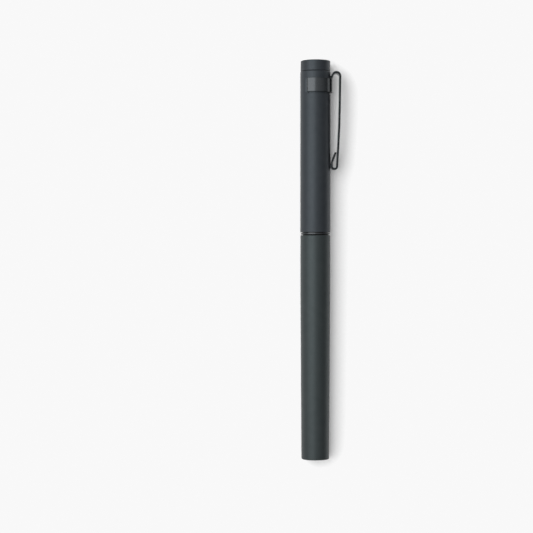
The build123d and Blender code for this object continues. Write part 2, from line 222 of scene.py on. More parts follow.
# name, dark and light colour, low and high roughness, tint of the gloss, then gloss, grain size and depth
COATINGS = [
    ("matt_charcoal", (0.0085, 0.0100, 0.0125), (0.0115, 0.0130, 0.0155), (0.42, 0.50), (0.80, 0.92, 1.0)),
    ("matt_charcoal_barrel", (0.0095, 0.0120, 0.0125), (0.0125, 0.0150, 0.0155), (0.42, 0.50),
     (0.82, 0.97, 1.0)),
    ("clip_black", (0.004, 0.005, 0.006), (0.006, 0.007, 0.008), (0.22, 0.28), (0.88, 0.95, 1.0),
     0.58, 0.10, 0.002),
    # the clip's edge finish is a darker, duller copy of clip_black for the sheet's cut and rounded edges:
    # painted shade that keeps them dark under the bright light overhead
    ("clip_edge", (0.003, 0.0036, 0.0045), (0.005, 0.0058, 0.0066), (0.30, 0.38), (0.86, 0.94, 1.0),
     0.22, 0.08, 0.003),
]
# name, dark and light colour, low and high roughness, then grain size and depth
PLASTICS = [
    ("grip_plastic", (0.006, 0.0065, 0.010), (0.009, 0.0095, 0.014), (0.27, 0.35)),
    ("black_plastic", (0.012, 0.012, 0.013), (0.018, 0.018, 0.019), (0.38, 0.50)),
    ("seal_plastic", (0.62, 0.63, 0.63), (0.72, 0.73, 0.73), (0.35, 0.50)),
    ("rubber", (0.010, 0.010, 0.010), (0.016, 0.016, 0.016), (0.60, 0.75), 0.05, 0.004),
]
# name, dark and light colour, low and high roughness, stretch of the tool lines, then their width
METALS = [
    ("dark_chrome", (0.045, 0.048, 0.051), (0.060, 0.063, 0.066), (0.26, 0.36), (8, 1, 8)),
    ("nib_steel", (0.58, 0.575, 0.56), (0.66, 0.655, 0.64), (0.08, 0.16), (1, 10, 1)),
    ("spring_steel", (0.50, 0.50, 0.50), (0.62, 0.62, 0.61), (0.22, 0.34), (6, 1, 6)),
    ("chrome", (0.66, 0.67, 0.69), (0.72, 0.73, 0.75), (0.06, 0.12), (8, 1, 8), 0.05),
]


def make_materials():
    """Every finish by its name."""
    finishes = {"clear_plastic": clear_plastic("clear_plastic")}
    for make, table in ((coated_metal, COATINGS), (plastic, PLASTICS), (metal, METALS)):
        for name, *look in table:
            finishes[name] = make(name, *look)
    return finishes


# ---------------------------------------------------------------- mesh helpers

def rounded(points, radii, bend=math.radians(9)):
    """A line through the points with its corners rounded to the radii given; 0 keeps a corner."""
    line = [Vector(points[0])]
    for before, corner, after, radius in zip(points, points[1:], points[2:], radii):
        before, corner, after = Vector(before), Vector(corner), Vector(after)
        back, ahead = (before - corner).normalized(), (after - corner).normalized()
        turn = math.pi - back.angle(ahead)
        if radius <= 0 or turn < 1e-4:
            line.append(corner)
            continue
        reach = radius * math.tan(turn / 2)
        centre = corner + (back + ahead).normalized() * radius / math.cos(turn / 2)
        start, stop = corner + back * reach - centre, corner + ahead * reach - centre
        steps = max(2, round(turn / bend))
        for n in range(steps + 1):
            share = n / steps
            arc = start * math.sin((1 - share) * turn) + stop * math.sin(share * turn)
            line.append(centre + arc / math.sin(turn))
    line.append(Vector(points[-1]))
    return line


def outline(*corners):
    """A closed half-section from (radius, Y, rounding) corners, starting and ending at one of them."""
    points = [(c[0], c[1]) for c in corners]
    radii = [c[2] if len(c) > 2 else 0 for c in corners]
    middle = ((points[0][0] + points[-1][0]) / 2, (points[0][1] + points[-1][1]) / 2)
    line = rounded([middle, *points, middle], radii)
    return line[:-1]


def piece(name, vertices, faces, body, slot, *replaced):
    """Makes a mesh piece, in millimetres, that rides a body, if one is given, and stands for CAD nodes."""
    mesh = bpy.data.meshes.new(name)
    mesh.from_pydata([[c * MM for c in v] for v in vertices], [], faces)
    mesh.validate()
    mesh.shade_smooth()
    mesh.set_sharp_from_angle(angle=SHARP)
    mesh.materials.append(MATERIALS[slot])
    obj = bpy.data.objects.new(name, mesh)
    bpy.context.scene.collection.objects.link(obj)
    if body:
        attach(obj, body)
    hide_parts(*replaced)
    return obj


def lathe(name, section, body, slot, *replaced, steps=144, angles=None, shape=None):
    """Turns a closed half-section about Y. shape(radius, y, angle) may change each radius."""
    angles = angles or [TURN * n / steps for n in range(steps)]
    vertices, rings = [], []
    for point in section:
        radius, y = point
        if radius < 1e-6:
            rings.append([len(vertices)] * len(angles))
            vertices.append((0, y, 0))
            continue
        rings.append(list(range(len(vertices), len(vertices) + len(angles))))
        for angle in angles:
            r = shape(radius, y, angle) if shape else radius
            vertices.append((r * math.cos(angle), y, -r * math.sin(angle)))
    faces = []
    for lower, upper in zip(rings, rings[1:] + rings[:1]):
        for n in range(len(angles)):
            m = (n + 1) % len(angles)
            face = []
            for index in (lower[n], lower[m], upper[m], upper[n]):
                if index not in face:
                    face.append(index)
            if len(face) > 2:
                faces.append(face)
    return piece(name, vertices, faces, body, slot, *replaced)


def rows(radius, rear, front, pitch):
    """Points along a straight stretch of a half-section, close enough for a shape to show."""
    count = max(2, math.ceil(abs(front - rear) / pitch))
    return [(radius, rear + (front - rear) * n / count, 0) for n in range(count + 1)]


def smooth(x):
    """Runs from 0 to 1, level at both ends, as x does."""
    x = min(1, max(0, x))
    return x * x * (3 - 2 * x)


def thread(root, crest, rear, front, pitch):
    """A shape for lathe(): a rounded screw thread between two places, run out at both ends."""
    reach, flank, flat_root = 0.2, 2.6, 0.5

    def shape(radius, y, angle):
        if not rear < y < front or abs(radius - crest) > reach:
            return radius
        phase = (y / pitch - angle / TURN) % 1
        ridge = smooth(flank * (1 - abs(2 * phase - 1)) - flat_root)
        run_out = min(1, (y - rear) / pitch, (front - y) / pitch)
        return crest - (crest - root) * (1 - ridge) * smooth(run_out)
    return shape


def tidy(obj, bevel=0.0):
    """Joins doubled points, turns all faces outwards and rounds sharp edges if a width is given."""
    doubled, corner = 0.0005, math.radians(50)
    mesh = bmesh.new()
    mesh.from_mesh(obj.data)
    bmesh.ops.remove_doubles(mesh, verts=mesh.verts, dist=doubled * MM)
    bmesh.ops.recalc_face_normals(mesh, faces=mesh.faces)
    if bevel:
        edges = [e for e in mesh.edges if e.is_manifold and e.calc_face_angle(0) > corner]
        bmesh.ops.bevel(mesh, geom=edges, offset=bevel * MM, segments=2, profile=0.5,
                        affect="EDGES", clamp_overlap=True)
    mesh.to_mesh(obj.data)
    mesh.free()
    obj.data.shade_smooth()
    obj.data.set_sharp_from_angle(angle=SHARP)


def thicken(obj, thickness, edge):
    """Gives a sheet its thickness and rounds its edges by a width, in the sheet's second material."""
    corner = math.radians(50)
    thick = obj.modifiers.new("sheet", "SOLIDIFY")
    thick.thickness = thickness * MM
    thick.offset = 0
    thick.use_even_offset = True
    thick.material_offset_rim = 1
    bevel = obj.modifiers.new("edge", "BEVEL")
    bevel.width = edge * MM
    bevel.segments = 4
    bevel.material = 1
    bevel.limit_method = "ANGLE"
    bevel.angle_limit = corner
    bpy.context.view_layer.update()
    obj_now = obj.evaluated_get(bpy.context.evaluated_depsgraph_get())
    final = bpy.data.meshes.new_from_object(obj_now)
    obj.modifiers.clear()
    obj.data = final
    final.shade_smooth()
    final.set_sharp_from_angle(angle=corner)


# ---------------------------------------------------------------- barrel and section

TAIL_R = 4.78
SEAT_REAR = 76.15


def make_barrel():
    """Closed tube that tapers to its tail, with a seat for the ring and a bore for the thread."""
    taper_start = 59.9
    bore, thread_bore, seal_seat, rear_wall = 4.05, 4.45, 4.66, 2.6
    thread_rear = COLLAR_REAR - 0.5
    lathe(
        "barrel", outline(
            (0, TAIL), (TAIL_R, TAIL, 0.34), (BARREL_R, taper_start), (BARREL_R, BARREL_FRONT, 0.3),
            (seal_seat, BARREL_FRONT, 0.08), (seal_seat, SEAT_REAR), (thread_bore, SEAT_REAR),
            (thread_bore, thread_rear), (bore, thread_rear - 0.3), (bore, rear_wall, 1.2), (0, rear_wall),
        ), "barrel", "matt_charcoal_barrel", "barrel_tube", steps=192)


def make_o_ring():
    """Rubber ring, squeezed a little flat in its groove."""
    half_height, half_width, corners = 0.28, 0.38, 24
    middle_y = (ORING_REAR + ORING_FRONT) / 2
    middle_r = ORING_R - half_height
    section = [(middle_r + half_height * math.cos(a), middle_y + half_width * math.sin(a))
               for a in (TURN * n / corners for n in range(corners))]
    lathe("o_ring", section, "o_ring", "rubber", "barrel_o_ring", steps=96)


def make_collar():
    """Threaded stub, ring groove, the flange between barrel and cap, and the bead the cap snaps on."""
    stub_r, root_r, bore, groove_r, seal_seat = 4.40, 4.08, 3.75, 4.02, 4.60
    neck_r, bead_r, spigot_bore, spigot_rear = 4.45, 4.625, 4.14, 77.9
    bead_rear, bead_front = 78.8, 79.6
    thread_pitch, groove_slack, gap = 0.9, 0.12, 0.2
    flange_rear, flange_front, flange_r = BARREL_FRONT + gap, CAP_MOUTH - gap, FLANGE_R + 0.13
    section = outline(
        (bore, COLLAR_REAR, 0.1), (stub_r - 0.3, COLLAR_REAR, 0.1), (stub_r, COLLAR_REAR + 0.35),
        *rows(stub_r, COLLAR_REAR + 0.4, SEAT_REAR - 0.1, 0.075), (stub_r, SEAT_REAR, 0.05),
        (groove_r, ORING_REAR - groove_slack), (groove_r, ORING_FRONT + groove_slack),
        (seal_seat, flange_rear), (flange_r - 0.12, flange_rear, 0.04), (flange_r, flange_rear + 0.12, 0.06),
        (flange_r, flange_front - 0.2, 0.08), (flange_r - 0.16, flange_front, 0.05),
        (neck_r, flange_front, 0.03), (neck_r, bead_rear - 0.08, 0.03),
        (bead_r, bead_rear, 0.1), (bead_r, bead_front, 0.12), (GRIP_REAR_R, COLLAR_FRONT, 0.02),
        (spigot_bore, COLLAR_FRONT), (spigot_bore, spigot_rear), (bore, spigot_rear),
    )
    lathe("collar", section, "section", "dark_chrome", "section_collar",
          shape=thread(root_r, stub_r, COLLAR_REAR + 0.2, SEAT_REAR - 0.15, thread_pitch))


def make_grip():
    """Tapered grip with its grooves and the lip that the liner seals on."""
    lip_y, lip_r, waist_r, front_r = 105.2, 3.935, 3.825, 3.45
    spigot_r, rear_bore, bore, step = 4.12, 3.75, 3.20, 86.0
    grooves, pitch, first, width, depth = 15, 1.256, 84.1, 0.46, 0.19
    shoulder = COLLAR_FRONT
    taper = (waist_r - GRIP_REAR_R) / (lip_y - 0.4 - shoulder)

    def radius(y):
        return GRIP_REAR_R + taper * (y - shoulder)

    corners = [(rear_bore, GRIP_REAR), (spigot_r, GRIP_REAR), (spigot_r, shoulder),
               (GRIP_REAR_R, shoulder, 0.02)]
    for n in range(grooves):
        y = first + n * pitch
        for offset, drop, bend in ((-width / 2, 0, 0.14), (-width / 5, depth, 0.1),
                                   (width / 5, depth, 0.1), (width / 2, 0, 0.14)):
            corners.append((radius(y + offset) - drop, y + offset, bend))
    corners += [
        (waist_r, lip_y - 0.5, 0.5), (lip_r, lip_y - 0.15, 0.12), (lip_r, lip_y + 0.15, 0.12),
        (front_r + 0.05, GRIP_FRONT, 0.12), (bore, GRIP_FRONT, 0.05), (bore, step), (rear_bore, step - 0.5),
    ]
    lathe("grip", outline(*corners), "section", "grip_plastic", "grip_section", steps=160)


def make_housing():
    """Sleeve round nib and feed, with the hollow nipple at its rear."""
    nipple, nipple_bore, feed_bore, shoulder, slack = 1.25, 0.60, 2.52, 86.1, 0.05
    nib_bore, nib_stop = NIB_R + 0.03, NIB_REAR - slack
    feed_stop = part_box("feed")[0].y / MM - slack
    section = outline(
        (nipple_bore, NIPPLE_REAR), (nipple, NIPPLE_REAR, 0.3), (nipple, shoulder, 0.1),
        (HOUSING_R, shoulder, 0.15), (HOUSING_R, HOUSING_FRONT, 0.1), (nib_bore, HOUSING_FRONT, 0.05),
        (nib_bore, nib_stop), (feed_bore, nib_stop), (feed_bore, feed_stop), (nipple_bore, feed_stop),
    )
    lathe("nib_sleeve", section, "section", "black_plastic", "nib_housing", steps=96)


# ---------------------------------------------------------------- nib

NIB_SHEET = 0.25
NIB_SLIT = 0.05
BREATHER_Y, BREATHER_R = 114.2, 0.55
SHOULDER_Y = 115.9
# Y, radius of the outer face, height of its top line, half of the wrap angle in degrees
NIB_STATIONS = [
    (NIB_REAR, 2.80, 2.80, 98), (107.0, 2.80, 2.80, 94), (112.0, 2.95, 2.80, 82),
    (SHOULDER_Y, 3.50, 2.72, 67.8), (119.5, 3.60, 2.48, 60), (124.5, 3.60, 2.02, 50),
]
# Y and half width of the front edge, from the shoulder to the point
NIB_EDGE = [
    (SHOULDER_Y, 3.24), (116.4, 3.10), (117.1, 2.72), (117.9, 2.18), (118.6, 1.68), (119.3, 1.26),
    (120.2, 0.98), (121.4, 0.74), (122.6, 0.50), (123.5, 0.32), (NIB_TIP - 0.02, 0.20),
]


def through(table, column, y):
    """Smooth (Catmull-Rom) value of a table's column at Y = y."""
    ys = [row[0] for row in table]
    y = min(max(y, ys[0]), ys[-1])
    n = max(i for i in range(len(ys) - 1) if ys[i] <= y)

    def slope(i):
        if i == 0 or i == len(ys) - 1:
            j = min(i, len(ys) - 2)
            return (table[j + 1][column] - table[j][column]) / (ys[j + 1] - ys[j])
        return (table[i + 1][column] - table[i - 1][column]) / (ys[i + 1] - ys[i - 1])

    width = ys[n + 1] - ys[n]
    t = (y - ys[n]) / width
    a, b = table[n][column], table[n + 1][column]
    m, k = slope(n) * width, slope(n + 1) * width
    return ((2 * t - 3) * t * t + 1) * a + (t - 2 * t * t + t ** 3) * m \
        + (3 - 2 * t) * t * t * b + (t ** 3 - t * t) * k


def engraving(across, y, half):
    """Depth of the nib's decoration: a double border, bars and a crossed wave of its own design."""
    deepest, field = 0.028, 0.60
    border_rear, border_front, border = 108.0, 119.6, ((0.80, 0.035), (0.68, 0.02))
    bars_rear, bars_front, bar_pitch, bar_width = 107.3, 110.2, 0.58, 0.1
    wave_rear, wave_front, wave_rise, wave_height, wave_rate, wave_width = 110.6, 113.2, 0.8, 0.9, 2.4, 0.09
    edge = abs(across) / half
    depth = 0.0
    if border_rear < y < border_front:
        for line, width in border:
            depth = max(depth, 1 - abs(edge - line) / width)
    if bars_rear < y < bars_front and edge < field:
        depth = max(depth, 1.2 - abs((y - bars_rear) % bar_pitch - bar_pitch / 2) / bar_width)
    if wave_rear < y < wave_front and edge < field:
        wave = wave_height * math.sin((y - wave_rear) * wave_rate) * min(1, (y - wave_rear) / wave_rise)
        depth = max(depth, 1 - abs(abs(across) - abs(wave)) / wave_width)
    return deepest * min(1, max(0, depth))


def make_nib():
    """The nib's two halves, one each side of its slit and breather hole."""
    columns, rear_rows, hole_rows, front_rows = 56, 210, 28, 130
    hole_rear = BREATHER_Y - BREATHER_R
    ys = [NIB_REAR + (hole_rear - NIB_REAR) * n / rear_rows for n in range(rear_rows)]
    ys += [BREATHER_Y - BREATHER_R * math.cos(math.pi * n / hole_rows) for n in range(hole_rows + 1)]
    start, point = ys[-1], NIB_EDGE[-1][0]
    ys += [start + (point - start) * n / front_rows for n in range(1, front_rows + 1)]

    def inner_edge(y):
        """Half width of the slit or the hole, or 0 where the sheet is whole."""
        if y < hole_rear + 1e-6:
            return 0
        gap = BREATHER_R ** 2 - (y - BREATHER_Y) ** 2
        return max(math.sqrt(gap) if gap > 0 else 0, NIB_SLIT / 2)

    def surface(side, column, y, drop):
        """A point of the outer face if drop is 0, else one that far below it."""
        radius, top = through(NIB_STATIONS, 1, y), through(NIB_STATIONS, 2, y)
        wrap = math.radians(through(NIB_STATIONS, 3, y))
        if y > SHOULDER_Y:
            wrap = math.asin(min(0.999, through(NIB_EDGE, 1, y) / radius))
        begin = math.asin(inner_edge(y) / radius)
        angle = begin + (wrap - begin) * column / columns
        if drop == 0:
            drop = engraving(radius * angle, y, radius * wrap)
        r = radius - drop
        return (side * r * math.sin(angle), y, top - radius + r * math.cos(angle))

    vertices, faces = [], []
    for side in (1, -1):
        layers = []
        for drop in (0, NIB_SHEET):
            layers.append([[len(vertices) + i * (columns + 1) + j for j in range(columns + 1)]
                           for i in range(len(ys))])
            vertices += [surface(side, j, y, drop) for y in ys for j in range(columns + 1)]
        top, under = layers
        quads = []
        for i in range(len(ys) - 1):
            for j in range(columns):
                quads.append((top[i][j], top[i][j + 1], top[i + 1][j + 1], top[i + 1][j]))
                quads.append((under[i][j], under[i + 1][j], under[i + 1][j + 1], under[i][j + 1]))
            quads.append((top[i][columns], under[i][columns], under[i + 1][columns], top[i + 1][columns]))
            if inner_edge(ys[i]) > 0 or inner_edge(ys[i + 1]) > 0:
                quads.append((top[i][0], top[i + 1][0], under[i + 1][0], under[i][0]))
        for j in range(columns):
            quads.append((top[0][j], under[0][j], under[0][j + 1], top[0][j + 1]))
            quads.append((top[-1][j], top[-1][j + 1], under[-1][j + 1], under[-1][j]))
        faces += quads if side == -1 else [q[::-1] for q in quads]
    nib = piece("nib_sheet", vertices, faces, "section", "nib_steel", "nib")
    tidy(nib, bevel=0.035)


def make_tipping():
    """The two halves of the rounded point, each a little slimmer than half a ball."""
    low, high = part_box("nib_tipping")
    centre = (low + high) / 2 / MM
    radius = (high.x - low.x) / 2 / MM
    around, along, squeeze = 20, 24, 0.86
    vertices, faces = [], []
    for side in (1, -1):
        base = len(vertices)
        for i in range(along + 1):
            lift = math.pi * i / along
            for j in range(around + 1):
                turn = math.pi * j / around
                x = radius * squeeze * math.sin(lift) * math.sin(turn)
                z = radius * math.sin(lift) * math.cos(turn)
                vertices.append((side * (x + NIB_SLIT / 2), centre.y - radius * math.cos(lift), centre.z + z))
        for i in range(along):
            for j in range(around):
                a, b = base + i * (around + 1) + j, base + (i + 1) * (around + 1) + j
                faces.append((a, a + 1, b + 1, b))
            a, b = base + i * (around + 1), base + (i + 1) * (around + 1)
            faces.append((a, b, b + around, a + around))
    tip = piece("nib_point", vertices, faces, "section", "nib_steel", "nib_tipping")
    tidy(tip)


# ---------------------------------------------------------------- converter

def make_converter():
    """Clear reservoir, the plated band at its rear and the keyed guide inside that."""
    bore, mouth, nipple = 3.05, 2.40, 1.30
    chamber = TUBE_FRONT - 8.2
    lathe("reservoir", outline(
        (bore, TUBE_REAR), (TUBE_R, TUBE_REAR, 0.05), (TUBE_R, chamber - 0.2, 0.8),
        (mouth, chamber + 1.2, 0.4), (mouth, TUBE_FRONT, 0.3), (nipple, TUBE_FRONT, 0.1),
        (nipple, chamber + 0.2, 0.2), (bore, chamber - 0.9, 0.3),
    ), "converter", "clear_plastic", "converter_tube", steps=128)

    inner_r, line_inset, line_r = 3.08, 1.6, BANDING_R - 0.12
    ring = [(inner_r, BANDING_REAR, 0.02), (BANDING_R, BANDING_REAR, 0.18)]
    for y in (BANDING_REAR + line_inset, BANDING_FRONT - line_inset):
        ring += [(BANDING_R, y - 0.25, 0.04), (line_r, y - 0.15, 0.04),
                 (line_r, y + 0.15, 0.04), (BANDING_R, y + 0.25, 0.04)]
    ring += [(BANDING_R, BANDING_FRONT, 0.05), (inner_r, BANDING_FRONT)]
    lathe("reservoir_band", outline(*ring), "converter", "chrome", "converter_ring", steps=128)

    nut_rear, nut_front, nut_r = span("converter_nut")
    nut_bore, rod_bore, recess = 2.35, 1.65, 2.6
    key_rear, recess_rear = nut_front - 3, nut_front - 5
    keyed = outline(
        (nut_bore, nut_rear, 0.05), (nut_r, nut_rear, 0.05), (nut_r, nut_front, 0.15),
        (rod_bore, nut_front, 0.08), *rows(rod_bore, nut_front - 0.1, key_rear, 1), (recess, key_rear),
        (recess, recess_rear), (nut_bore, recess_rear),
    )

    def key(radius, y, angle):
        if radius > rod_bore + 0.01:
            return radius
        return min(radius, (ROD_FLAT + 0.05) / max(1e-6, abs(math.sin(angle))))

    lathe("rod_guide", keyed, "converter", "black_plastic", "converter_nut", shape=key)


def make_knob():
    """Fluted knob on a sleeve that reaches over the piston rod."""
    sleeve, flange, bore, cavity = 2.30, 2.54, 1.65, ROD_REAR - 1.2
    shoulder, flange_rear = BANDING_REAR - 0.3, KNOB_FRONT - 1.75
    grip_rear, grip_front, flutes, flute_depth = KNOB_REAR + 1.0, shoulder - 2.2, 30, 0.2
    cover_r, rim_rear, line_r = 2.0, KNOB_REAR + 0.15, KNOB_R - 0.2
    section = outline(
        (0, KNOB_REAR), (cover_r - 0.1, KNOB_REAR, 0.1), (cover_r, rim_rear, 0.1), (KNOB_R, rim_rear, 0.45),
        *rows(KNOB_R, KNOB_REAR + 0.7, shoulder - 2.0, 0.22), (KNOB_R, shoulder - 1.6, 0.05),
        (line_r, shoulder - 1.5, 0.05), (line_r, shoulder - 1.2, 0.05), (KNOB_R, shoulder - 1.1, 0.05),
        (KNOB_R, shoulder, 0.2), (sleeve, shoulder), (sleeve, flange_rear), (flange, flange_rear, 0.05),
        (flange, KNOB_FRONT, 0.05), (bore, KNOB_FRONT), (bore, cavity), (0, cavity),
    )

    def flute(radius, y, angle):
        if radius < KNOB_R - 0.05 or not grip_rear < y < grip_front:
            return radius
        end = min(1, (y - grip_rear) / 0.5, (grip_front - y) / 0.5)
        return radius - flute_depth * smooth(end) * smooth(0.5 + 0.5 * math.cos(flutes * angle))

    lathe("knob", section, "knob", "black_plastic", "converter_knob", steps=360, shape=flute)


def make_piston():
    """Screw rod with two flats, and the two-lipped plug on its front end."""
    root, crest, pin, pitch = 1.35, 1.60, 1.2, 1.0
    section = outline(
        (0, ROD_REAR), (crest - 0.2, ROD_REAR, 0.1), *rows(crest, ROD_REAR + 0.3, SEAL_REAR - 0.8, 0.09),
        (crest, SEAL_REAR, 0.1), (pin, SEAL_REAR), (pin, ROD_FRONT, 0.15), (0, ROD_FRONT),
    )
    screw = thread(root, crest, ROD_REAR + 0.2, SEAL_REAR - 1.0, pitch)

    def flatted(radius, y, angle):
        return min(screw(radius, y, angle), ROD_FLAT / max(1e-6, abs(math.sin(angle))))

    lathe("piston_screw", section, "piston", "black_plastic", "piston_rod", steps=120, shape=flatted)

    socket, socket_end, waist = pin + 0.02, SEAL_FRONT - 0.98, SEAL_R - 0.4
    lathe("piston_plug", outline(
        (0, SEAL_FRONT), (0, socket_end), (socket, socket_end), (socket, SEAL_REAR, 0.05),
        (SEAL_R, SEAL_REAR, 0.2), (SEAL_R, SEAL_REAR + 1.2, 0.3), (waist, SEAL_REAR + 1.9, 0.3),
        (waist, SEAL_FRONT - 2.2, 0.3), (SEAL_R, SEAL_FRONT - 1.5, 0.3), (SEAL_R, SEAL_FRONT - 0.2, 0.15),
        (SEAL_R - 0.7, SEAL_FRONT, 0.3),
    ), "piston", "seal_plastic", "piston_seal", steps=96)


# ---------------------------------------------------------------- cap

SHEET = 0.7
BAND_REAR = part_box("clip_band")[0].y / MM
BAND_FRONT = BAND_REAR + 4.6
# turns from the clip's side: the band's end, then a pocket's start, the foot of its ramp and its end
BAND_HALF = math.radians(120)
POCKET_START, POCKET_RAMP, POCKET_END = math.radians(115), math.radians(126), math.radians(134)
POCKET_R = 4.92


def make_cap_tube():
    """Tube with the ring's groove inside, and outside the band's seat, its groove and its hooks' pockets."""
    bore, groove, slack = 4.70, 4.92, 0.05
    seat_r, seat_rear, seat_front = BAND_R - SHEET, BAND_REAR + 0.1, BAND_FRONT + slack
    relief_r, relief_rear, pocket_rear = 4.95, BAND_REAR - 0.7, BAND_REAR - 0.1
    ring_rear, ring_front = span("snap_ring")[:2]
    shoulder = CAP_TOP - 0.25
    # the steps of the recesses lie between rings of points that are this close together
    step = 0.001
    sunk_r = CAP_R - 1e-4
    section = outline(
        (bore, CAP_MOUTH, 0.06), (CAP_R, CAP_MOUTH, 0.12), (CAP_R, relief_rear - 0.3),
        (CAP_R, relief_rear - step), (sunk_r, relief_rear + step),
        (sunk_r, pocket_rear - step), (sunk_r, pocket_rear + step),
        (sunk_r, seat_rear - step), (sunk_r, seat_rear + step),
        (sunk_r, seat_front - step), (CAP_R, seat_front + step),
        (CAP_R, shoulder, 0.1), (CAP_R - 0.1, CAP_TOP - 0.06, 0.04), (CAP_R - 0.18, CAP_TOP, 0.03),
        (bore, CAP_TOP), (bore, ring_front + slack), (groove, ring_front + slack),
        (groove, ring_rear - slack), (bore, ring_rear - slack),
    )
    sliver, plain_steps = math.radians(0.02), 192
    seat_half = BAND_HALF + math.radians(0.5)
    marks = [0.0]
    for edge in (seat_half, POCKET_START, POCKET_RAMP, POCKET_END):
        marks += [edge, edge + sliver, TURN - edge, TURN - edge - sliver]
    angles = sorted(set(marks + [TURN * n / plain_steps for n in range(plain_steps)]))

    def recess(radius, y, angle):
        if abs(radius - CAP_R) > 2e-4 or not relief_rear < y < seat_front:
            return radius
        turn = min(angle, TURN - angle)
        if POCKET_START < turn <= POCKET_END and y > pocket_rear:
            ramp = smooth((turn - POCKET_RAMP) / (POCKET_END - POCKET_RAMP))
            return POCKET_R + (radius - POCKET_R) * ramp
        if turn <= seat_half + sliver / 2:
            return relief_r if y < seat_rear else seat_r
        return radius

    lathe("cap", section, "cap", "matt_charcoal", "cap_tube", angles=angles, shape=recess)


def make_finial():
    """Plug that closes the cap, a hairline above it, with the screw's hole in its spigot."""
    seam = CAP_TOP + 0.1
    spigot, hole, hole_end = 4.68, 0.97, 135.7
    lathe("finial", outline(
        (hole, FINIAL_REAR, 0.1), (spigot, FINIAL_REAR, 0.1), (spigot, seam), (FINIAL_R, seam, 0.1),
        (FINIAL_R, PEN_TOP, 0.3), (0, PEN_TOP), (0, hole_end), (hole, hole_end),
    ), "cap", "matt_charcoal", "cap_finial", steps=192)


def make_liner():
    """Cup that seals round the grip's lip, with a countersunk hole for the screw in its end."""
    bore, nib_bore, wall, bore_end, nib_bore_rear = 4.06, 3.62, LINER_FRONT - 1.1, 105.9, 107.2
    hole, countersink = 0.98, 1.92
    lathe("liner", outline(
        (bore, LINER_REAR, 0.15), (LINER_R, LINER_REAR, 0.15), (LINER_R, LINER_FRONT, 0.1),
        (hole, LINER_FRONT), (hole, LINER_FRONT - 0.15), (countersink, wall, 0.03), (nib_bore, wall, 0.6),
        (nib_bore, nib_bore_rear, 0.3), (bore, bore_end, 0.3),
    ), "cap", "black_plastic", "inner_cap", steps=128)


# ---------------------------------------------------------------- clip

# middle line of the tongue, in X and Y, from the band round the bend and down to the loop's end
CLIP_LINE = [
    (5.51, BAND_FRONT), (5.52, 131.35), (5.84, 132.0), (5.84, 133.48), (8.53, 133.48),
    (8.29, 115.0), (7.41, 100.2), (5.61, 100.2), (5.61, 102.3), (7.0, 105.95),
]
# radii of the bends at its inner points
CLIP_BENDS = [0.3, 0.3, 1.27, 1.3, 300, 0.8, 0.8, 2.5]
ROOT_HALF, TIP_HALF, ROOT_FILLET = 2.0, 1.5, 1.1
EDGE = 0.31
# two places on the clip's bend, in X and Y
FLEX_START, FLEX_END = (7.18, 133.83), (8.70, 133.50)


def even(line, step):
    """The same line with points a given step apart, and its end."""
    points, left = [line[0]], step
    for a, b in zip(line, line[1:]):
        length = (b - a).length
        while left <= length:
            points.append(a + (b - a) * left / length)
            left += step
        left -= length
    return points + [line[-1]]


def strip_frames(step):
    """Points a step apart along the tongue's middle line, each with the normal of its face."""
    line = even(rounded(CLIP_LINE, CLIP_BENDS, math.radians(6)), step)
    frames = []
    for n, point in enumerate(line):
        ahead = (line[min(n + 1, len(line) - 1)] - line[max(n - 1, 0)]).normalized()
        frames.append((point, Vector((ahead.y, -ahead.x))))
    return frames


